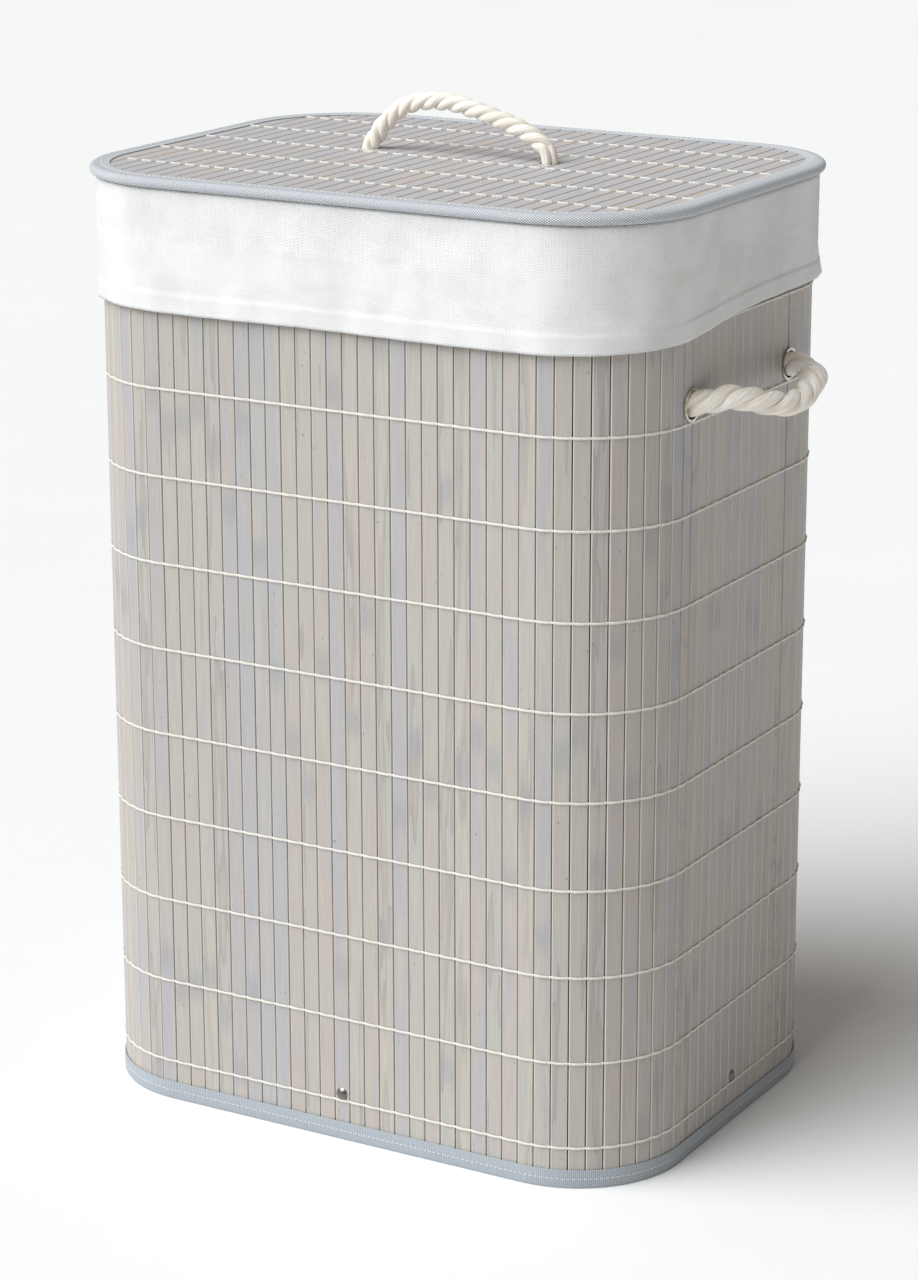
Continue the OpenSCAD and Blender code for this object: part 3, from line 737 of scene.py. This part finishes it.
rows = np.stack(rows, 1)
down = np.r_[0, np.cumsum(np.linalg.norm(np.diff(rows[0], axis=0), axis=1))]
uv = np.stack(np.broadcast_arrays(collar_round[:, None], down[None]), -1)
collar = grid_piece("liner_turned_collar", rows, uv, closed_along=True)
face_out(collar)
apply_modifier(collar, "SOLIDIFY", thickness=0.8 * MM, offset=0)
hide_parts("liner_collar", "collar_hem")
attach(collar, "liner")
print("collar:", round(AROUND, 3), "x", round(float(down[-1]), 3))

# %% [markdown]
# Below the rim the liner is a loose bag, gathered in past the handles' knots and lying on the base.
# Its folds run down it and soften towards the floor.

# %% The bag
BAG_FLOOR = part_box("liner_bag")[0][2] + 0.5 * MM
BAG_IN_X, BAG_IN_Y = 33 * MM, 13.5 * MM
m = 348
s_bag, bag_round = ring(m)
folds = [noise(rng, 24, m) for _ in range(4)]
rows = []
for z in np.r_[np.linspace(594.7, 500, 14), np.linspace(485, 10, 30)] * MM:
    f = min(max((590 * MM - z) / (84 * MM), 0), 1)
    f = f * f * (3 - 2 * f)
    high = walk(s_bag, -4.6 * MM)[0]
    low, out = walk(s_bag, 0)
    low = low * [(HALF_W - BAG_IN_X) / HALF_W, (HALF_D - BAG_IN_Y) / HALF_D]
    level = (z / MM) / 600 * 3
    k = int(min(level, 2))
    fold = folds[k] * (1 - (level - k)) + folds[k + 1] * (level - k)
    body_fold = (1.4 * MM) * f * fold
    rows.append(np.c_[high * (1 - f) + low * f + out * body_fold[:, None], np.full(m, z)])
base_ring = rows[-1][:, :2]
for shrink in (0.985, 0.95, 0.88, 0.78, 0.66, 0.52, 0.38, 0.24, 0.12, 0.04):
    bulge = 1.2 * MM * (folds[0] * 0.5 + 0.5) * shrink
    rows.append(np.c_[base_ring * shrink, BAG_FLOOR + bulge])
rows = np.stack(rows, 1)
down = np.r_[0, np.cumsum(np.linalg.norm(np.diff(rows[0], axis=0), axis=1))]
uv = np.stack(np.broadcast_arrays(bag_round[:, None], down[None]), -1)
bag = grid_piece("liner_loose_bag", rows, uv, closed_along=True)
only(bag)
bpy.ops.object.mode_set(mode="EDIT")
bpy.ops.mesh.select_mode(type="VERT")
bpy.ops.mesh.select_all(action="DESELECT")
bpy.ops.object.mode_set(mode="OBJECT")
for vertex in bag.data.vertices:
    vertex.select = vertex.index % rows.shape[1] == rows.shape[1] - 1
bpy.ops.object.mode_set(mode="EDIT")
bpy.ops.mesh.edge_face_add()
bpy.ops.object.mode_set(mode="OBJECT")
face_out(bag)
apply_modifier(bag, "SOLIDIFY", thickness=0.8 * MM, offset=0)
bag.data.shade_smooth()
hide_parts("liner_bag")
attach(bag, "liner")
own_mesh(bag)

# %% [markdown]
# The finishes are built from a few shared effects: straight grain for bamboo, a plain weave for
# cloth, ribs and a lattice for tape, and twisted yarn for cotton. Each is a node group that gives
# out masks and heights, and each material mixes its own colours from them.

# %% Shared effects
def paint(r, g, b, share=1.0):
    """A colour of 0 to 255 as a linear one, scaled."""
    return tuple(((c / 255 + 0.055) / 1.055) ** 2.4 * share for c in (r, g, b)) + (1,)


class Graph:
    """Short ways to add nodes to a tree and join them."""

    def __init__(self, tree):
        self.tree = tree

    def node(self, kind, ins=None, **props):
        made = self.tree.nodes.new(kind)
        for key, value in props.items():
            setattr(made, key, value)
        for key, value in (ins or {}).items():
            if isinstance(value, bpy.types.NodeSocket):
                self.tree.links.new(value, made.inputs[key])
            else:
                made.inputs[key].default_value = value
        return made

    def math(self, operation, a, b=0.0, c=0.0, clamp=False):
        return self.node("ShaderNodeMath", {0: a, 1: b, 2: c}, operation=operation,
                         use_clamp=clamp).outputs[0]

    def mix(self, amount, a, b):
        return self.node("ShaderNodeMix", {0: amount, 6: a, 7: b}, data_type="RGBA").outputs[2]

    def band(self, value, low, high):
        return self.node("ShaderNodeMapRange", {0: value, 1: low, 2: high, 3: 0.0, 4: 1.0},
                         interpolation_type="SMOOTHSTEP").outputs[0]

    def noise(self, vector, scale, detail=3.0, rough=0.55):
        return self.node("ShaderNodeTexNoise", {"Vector": vector, "Scale": scale, "Detail": detail,
                                                "Roughness": rough}).outputs[0]

    def ramp(self, value, stops):
        made = self.node("ShaderNodeValToRGB", {0: value})
        made.color_ramp.elements[0].position, made.color_ramp.elements[0].color = stops[0]
        made.color_ramp.elements[1].position, made.color_ramp.elements[1].color = stops[-1]
        for place, colour in stops[1:-1]:
            made.color_ramp.elements.new(place).color = colour
        return made.outputs[0]

    def split(self, vector):
        return self.node("ShaderNodeSeparateXYZ", {0: vector}).outputs

    def join(self, x, y, z):
        return self.node("ShaderNodeCombineXYZ", {0: x, 1: y, 2: z}).outputs[0]

    def effect(self, group, **ins):
        made = self.node("ShaderNodeGroup", node_tree=group)
        for key, value in ins.items():
            if isinstance(value, bpy.types.NodeSocket):
                self.tree.links.new(value, made.inputs[key])
            else:
                made.inputs[key].default_value = value
        return made.outputs


def new_group(name, ins, outs):
    tree = bpy.data.node_groups.new(name, "ShaderNodeTree")
    for key, kind in ins.items():
        tree.interface.new_socket(name=key, in_out="INPUT", socket_type=kind)
    for key in outs:
        tree.interface.new_socket(name=key, in_out="OUTPUT", socket_type="NodeSocketFloat")
    graph = Graph(tree)
    ends = tree.nodes.new("NodeGroupInput").outputs, tree.nodes.new("NodeGroupOutput").inputs
    return tree, graph, *ends


FLOAT, VECTOR = "NodeSocketFloat", "NodeSocketVector"

# Straight grain: Place has its Z along the fibre, and Strip tells one slat from the next
grain, g, gin, gout = new_group("grain", {"Place": VECTOR, "Strip": FLOAT},
                                ["Fibre", "Tone", "Joint", "Speck"])
x, y, z = g.split(gin["Place"])
shift = g.math("MULTIPLY", gin["Strip"], 31.7)
fine = g.join(g.math("ADD", g.math("MULTIPLY", x, 2600), shift), g.math("MULTIPLY", y, 2600),
              g.math("MULTIPLY", z, 26))
slow = g.join(g.math("ADD", g.math("MULTIPLY", x, 130), shift), g.math("MULTIPLY", y, 130),
              g.math("ADD", g.math("MULTIPLY", z, 9), shift))
g.tree.links.new(g.noise(fine, 1.0, 4), gout["Fibre"])
g.tree.links.new(g.noise(slow, 1.0, 2), gout["Tone"])
along = g.math("ADD", g.math("MULTIPLY", z, 2.7), g.math("MULTIPLY", gin["Strip"], 7.3))
apart = g.math("ABSOLUTE", g.math("SUBTRACT", g.math("FRACT", along), 0.5))
g.tree.links.new(g.math("SUBTRACT", 1.0, g.band(apart, 0.004, 0.045)), gout["Joint"])
speck = g.noise(g.join(g.math("MULTIPLY", x, 520), g.math("MULTIPLY", y, 520),
                       g.math("ADD", g.math("MULTIPLY", z, 260), shift)), 1.0, 1)
g.tree.links.new(g.band(speck, 0.755, 0.80), gout["Speck"])

# Plain weave: U and V in metres, Pitch the distance from thread to thread
weave, g, gin, gout = new_group("weave", {"Place": VECTOR, "Pitch": FLOAT}, ["Height", "Wear"])
u, v, _ = g.split(gin["Place"])
turn = g.math("DIVIDE", math.pi, gin["Pitch"])
warp, weft = [g.math("ABSOLUTE", g.math("SINE", g.math("MULTIPLY", c, turn))) for c in (u, v)]
checker = g.math("SINE", g.math("MULTIPLY", u, turn))
checker = g.math("MULTIPLY", checker, g.math("SINE", g.math("MULTIPLY", v, turn)))
over = g.math("MULTIPLY_ADD", checker, 0.35, g.math("MULTIPLY", g.math("ADD", warp, weft), 0.5))
upright = g.noise(g.join(g.math("MULTIPLY", u, 620), g.math("MULTIPLY", v, 34), 0.0), 1.0, 3)
level_yarn = g.noise(g.join(g.math("MULTIPLY", u, 34), g.math("MULTIPLY", v, 620), 5.0), 1.0, 3)
slub = g.math("ADD", upright, g.math("MULTIPLY", level_yarn, 0.6))
g.tree.links.new(g.math("MULTIPLY_ADD", slub, 0.9, over), gout["Height"])
g.tree.links.new(g.noise(g.join(g.math("MULTIPLY", u, 28), g.math("MULTIPLY", v, 28), 0.0), 1.0, 4),
                 gout["Wear"])

# Lattice of a ribbed tape: raised dots on slanting crossings
lattice, g, gin, gout = new_group("lattice", {"Place": VECTOR, "Step U": FLOAT, "Step V": FLOAT},
                                  ["Dots"])
u, v, _ = g.split(gin["Place"])
a = g.math("DIVIDE", u, gin["Step U"])
b = g.math("DIVIDE", v, gin["Step V"])
plus = g.math("COSINE", g.math("MULTIPLY", g.math("ADD", a, b), math.pi))
minus = g.math("COSINE", g.math("MULTIPLY", g.math("SUBTRACT", a, b), math.pi))
dots = g.math("ABSOLUTE", g.math("MULTIPLY", plus, minus))
g.tree.links.new(g.band(dots, 0.15, 0.85), gout["Dots"])

# Twisted yarn: U along the cord in metres, V round it
yarn, g, gin, gout = new_group("yarn", {"Place": VECTOR, "Fineness": FLOAT}, ["Fibre", "Tone"])
u, v, _ = g.split(gin["Place"])
fine = g.join(g.math("MULTIPLY", u, 90), g.math("MULTIPLY", v, gin["Fineness"]), 0.0)
g.tree.links.new(g.noise(fine, 1.0, 4, 0.6), gout["Fibre"])
slow = g.join(g.math("MULTIPLY", u, 30), g.math("MULTIPLY", v, 2), 3.0)
g.tree.links.new(g.noise(slow, 1.0, 2), gout["Tone"])
print("groups:", [t.name for t in bpy.data.node_groups])

# %% [markdown]
# Each material takes its colours from the real finish: washed bamboo that drifts between grey, beige and
# blue-grey, bright thread, blue-grey tape, white cotton, cream rope and dull nickel. Some also carry painted
# light: a painted highlight on the slats' rounded edges, painted shade on the backing's outward side in the
# seams, and lid slats painted lighter than the wall's.

# %% Materials
def new_material(name, roughness, metallic=0.0, sheen=0.0):
    material = bpy.data.materials.new(name)
    material.use_nodes = True
    tree = material.node_tree
    shader = tree.nodes["Principled BSDF"]
    shader.inputs["Roughness"].default_value = roughness
    shader.inputs["Metallic"].default_value = metallic
    shader.inputs["Sheen Weight"].default_value = sheen
    return material, Graph(tree), shader


def finish_with(graph, shader, colour, height, distance, strength=1.0, rough=None):
    graph.tree.links.new(colour, shader.inputs["Base Color"])
    bump = graph.node("ShaderNodeBump",
                      {"Height": height, "Distance": distance, "Strength": strength})
    graph.tree.links.new(bump.outputs[0], shader.inputs["Normal"])
    if rough is not None:
        graph.tree.links.new(rough, shader.inputs["Roughness"])


# Painted light: the lid's lying bamboo is painted a quarter lighter than the wall's, for the stronger light
# on the lid's top.
BAMBOO_SHARE, LID_PAINTED_LIGHT_SHARE = 0.80, 1.0


def bamboo_material(name, lying):
    share = LID_PAINTED_LIGHT_SHARE if lying else BAMBOO_SHARE
    material, g, shader = new_material(name, 0.55)
    x, y, z = g.split(g.node("ShaderNodeTexCoord").outputs["Object"])
    place = g.join(x, z, y) if lying else g.join(x, y, z)
    strip = g.node("ShaderNodeAttribute", attribute_name="strip").outputs["Fac"]
    edge = g.node("ShaderNodeAttribute", attribute_name="edge").outputs["Fac"]
    out = g.effect(grain, Place=place, Strip=strip)
    pick = g.math("FRACT", g.math("MULTIPLY_ADD", out["Tone"], 1.0, strip))
    colours = [(178, 172, 169), (206, 199, 187), (196, 194, 191), (190, 190, 196), (202, 191, 185),
               (199, 196, 186), (196, 194, 191)]
    colour = g.ramp(pick, [(k / 6, paint(*c, share)) for k, c in enumerate(colours)])
    fibre = g.band(out["Fibre"], 0.32, 0.68)
    colour = g.mix(g.math("MULTIPLY", fibre, 0.30), colour, paint(154, 144, 132, share))
    colour = g.mix(g.math("MULTIPLY", out["Joint"], 0.45), colour, paint(164, 165, 170, share))
    colour = g.mix(g.math("MULTIPLY", out["Speck"], 0.55), colour, paint(92, 78, 66, share))
    # Painted highlight: each slat's rounded edges are painted pale, standing in for the light they catch.
    colour = g.mix(g.math("MULTIPLY", edge, 0.75), colour, paint(238, 234, 226, share))
    rough = g.math("MULTIPLY_ADD", fibre, 0.16, 0.46)
    finish_with(g, shader, colour, out["Fibre"], 0.00012, 0.5, rough)
    return material


def cloth_material(name, pitch, colour, shade, object_places=False, distance=0.0001, sheen=0.2):
    material, g, shader = new_material(name, 0.88, sheen=sheen)
    texture = g.node("ShaderNodeTexCoord").outputs
    if object_places:
        x, y, z = g.split(texture["Object"])
        place = g.join(g.math("ADD", x, y), g.math("ADD", z, g.math("MULTIPLY", y, 0.5)), 0.0)
    else:
        place = texture["UV"]
    out = g.effect(weave, Place=place, Pitch=pitch)
    tint = g.mix(g.band(out["Wear"], 0.35, 0.7), colour, shade)
    tint = g.mix(g.math("MULTIPLY", g.band(out["Height"], 1.0, 1.7), 0.5), tint, colour)
    finish_with(g, shader, tint, out["Height"], distance, 0.7)
    return material


def backing_material(name):
    """Pale cloth inside the wall, with painted shade on its outward side, which shows dark brown in the
    seams between the slats.
    """
    material, g, shader = new_material(name, 0.88, sheen=0.1)
    where = g.node("ShaderNodeTexCoord").outputs["Object"]
    facing = g.node("ShaderNodeNewGeometry").outputs["Normal"]
    outward = g.node("ShaderNodeVectorMath", {0: where, 1: facing},
                     operation="DOT_PRODUCT").outputs["Value"]
    x, y, z = g.split(where)
    out = g.effect(weave, Place=g.join(g.math("ADD", x, y), z, 0.0), Pitch=0.9 * MM)
    wear = g.band(out["Wear"], 0.35, 0.7)
    pale = g.mix(wear, paint(214, 209, 198, 0.85), paint(200, 193, 180, 0.85))
    # Painted shade: the outward side, seen only in the seams between slats, is dark brown.
    painted_seam_shade = g.mix(wear, paint(104, 92, 80, 0.4), paint(84, 74, 64, 0.4))
    finish_with(g, shader, g.mix(g.math("GREATER_THAN", outward, 0.0), pale, painted_seam_shade),
                out["Height"], 0.0001, 0.7)
    return material


def tape_material(name, flange):
    material, g, shader = new_material(name, 0.8, sheen=0.2)
    place = g.node("ShaderNodeTexCoord").outputs["UV"]
    dots = g.effect(lattice, Place=place, **{"Step U": 1.9 * MM, "Step V": 1.5 * MM})["Dots"]
    u, v, _ = g.split(place)
    if flange:
        flat = g.math("SUBTRACT", 1.0, g.band(v, 6.2 * MM, 7.2 * MM))
        dark, light = paint(150, 156, 166, 0.85), paint(246, 248, 250, 0.92)
        colour = g.mix(dots, dark, light)
        colour = g.mix(flat, colour, paint(200, 206, 213, 0.85))
        height = g.math("MULTIPLY", dots, g.math("SUBTRACT", 1.0, flat))
    else:
        rib = g.math("ABSOLUTE", g.math("SINE", g.math("MULTIPLY", u, math.pi / (1.2 * MM))))
        colour = g.mix(rib, paint(152, 161, 170, 0.76), paint(194, 203, 211, 0.8))
        height = rib
    finish_with(g, shader, colour, height, 0.00025, 0.8)
    return material


def cord_material(name, pale, deep, fineness, uv=True, distance=0.0002):
    material, g, shader = new_material(name, 0.9, sheen=0.3)
    texture = g.node("ShaderNodeTexCoord").outputs
    place = texture["UV"] if uv else g.node("ShaderNodeVectorMath", {0: texture["Object"], 3: 60.0},
                                            operation="SCALE").outputs[0]
    out = g.effect(yarn, Place=place, Fineness=fineness)
    colour = g.mix(g.band(out["Fibre"], 0.38, 0.62), deep, pale)
    colour = g.mix(g.math("MULTIPLY", g.band(out["Tone"], 0.45, 0.7), 0.25), colour, deep)
    finish_with(g, shader, colour, out["Fibre"], distance, 0.7)
    return material


def metal_material(name, pale=(214, 208, 196), deep=(176, 170, 160)):
    material, g, shader = new_material(name, 0.32, metallic=1.0)
    place = g.node("ShaderNodeTexCoord").outputs["Object"]
    worn = g.noise(place, 420, 3)
    colour = g.mix(g.band(worn, 0.4, 0.65), paint(*pale), paint(*deep))
    finish_with(g, shader, colour, worn, 0.00004, 0.4, g.math("MULTIPLY_ADD", worn, 0.25, 0.2))
    return material


def board_material(name):
    material, g, shader = new_material(name, 0.75)
    place = g.node("ShaderNodeTexCoord").outputs["Object"]
    fleck = g.noise(place, 900, 5)
    colour = g.mix(g.band(fleck, 0.3, 0.7), paint(120, 90, 62), paint(158, 124, 90))
    finish_with(g, shader, colour, fleck, 0.00008, 0.5)
    return material


cotton = paint(248, 248, 248, 0.84), paint(234, 234, 233, 0.82)
slot_materials = {
    "bamboo": bamboo_material("washed_bamboo", False),
    "backing_cloth": backing_material("backing_weave_painted_seam_shade"),
    "thread": cord_material("bright_thread", paint(246, 244, 236, 0.84),
                            paint(220, 216, 204, 0.82), 3.0, False),
    "binding_tape": cloth_material("plain_tape", 0.8 * MM, paint(170, 178, 188, 0.8),
                                   paint(150, 160, 172, 0.8), True),
    "steel": metal_material("dull_nickel"),
    "rope": cord_material("cotton_rope", paint(254, 251, 245, 0.96),
                          paint(236, 226, 210, 0.94), 14.0),
    "fibreboard": board_material("hardboard"),
    "liner_cotton": cloth_material("lining_cotton", 0.7 * MM, *cotton, True),
    "base_cloth": cloth_material("base_weave", 0.9 * MM, paint(204, 200, 190, 0.8),
                                 paint(186, 180, 168, 0.8), True),
}
# The lid's copy of the bamboo, painted lighter than the wall's as painted light.
lighter_painted_lying_bamboo = bamboo_material("washed_bamboo_lying_painted_lighter", True)
liner_weave = cloth_material("liner_cotton_weave", 0.9 * MM, *cotton, distance=0.00035)


def dress(obj, material):
    obj.data.materials.clear()
    obj.data.materials.append(material)


slots = {part["node"]: part["material_slot"] for part in frame["record"]["subparts"]}
for node_name, obj in frame["nodes"].items():
    dress(obj, slot_materials[slots[node_name]])
dress(frame["nodes"]["stud_caps"], metal_material("dark_nickel", (138, 134, 128), (104, 100, 96)))
dress(wall_slats, slot_materials["bamboo"])
dress(lid_slats, lighter_painted_lying_bamboo)
for piece in (wall_threads, lid_threads, foot_stitches, lid_stitches):
    dress(piece, slot_materials["thread"])
dress(foot_tape, tape_material("foot_tape_ribs", False))
dress(lid_tape, tape_material("lid_tape_lattice", True))
for piece in (collar, bag):
    dress(piece, liner_weave)
for piece in (*side_ropes, lid_rope, lid_knots):
    dress(piece, slot_materials["rope"])
print("materials:", len(bpy.data.materials))

# %% [markdown]
# The hamper stands on a wide pale floor. One large soft light comes from the front left above, and
# an even pale surround fills in the side away from it.

# %% Floor and light
clear()
bpy.ops.mesh.primitive_plane_add(size=60, location=(0, 0, 0))
floor = bpy.context.object
floor.name = "floor"
floor_material, g, shader = new_material("pale_floor", 0.9)
place = g.node("ShaderNodeTexCoord").outputs["Object"]
finish_with(g, shader, g.mix(g.noise(place, 3.0), paint(232, 232, 232), paint(236, 236, 236)),
            g.noise(place, 40.0), 0.0002, 0.1)
dress(floor, floor_material)
towards_light = Vector((-0.42, -0.60, 0.80))
bpy.ops.object.light_add(type="SUN", rotation=towards_light.to_track_quat("Z", "Y").to_euler())
key = bpy.context.object
key.data.energy = 4.0
key.data.color = (0.955, 0.982, 1.0)
key.data.angle = math.radians(55)
world = bpy.data.worlds.new("surround")
bpy.context.scene.world = world
world.use_nodes = True
world.node_tree.nodes["Background"].inputs["Color"].default_value = (1, 0.94, 0.87, 1)
world.node_tree.nodes["Background"].inputs["Strength"].default_value = 0.25
print("stage ready")
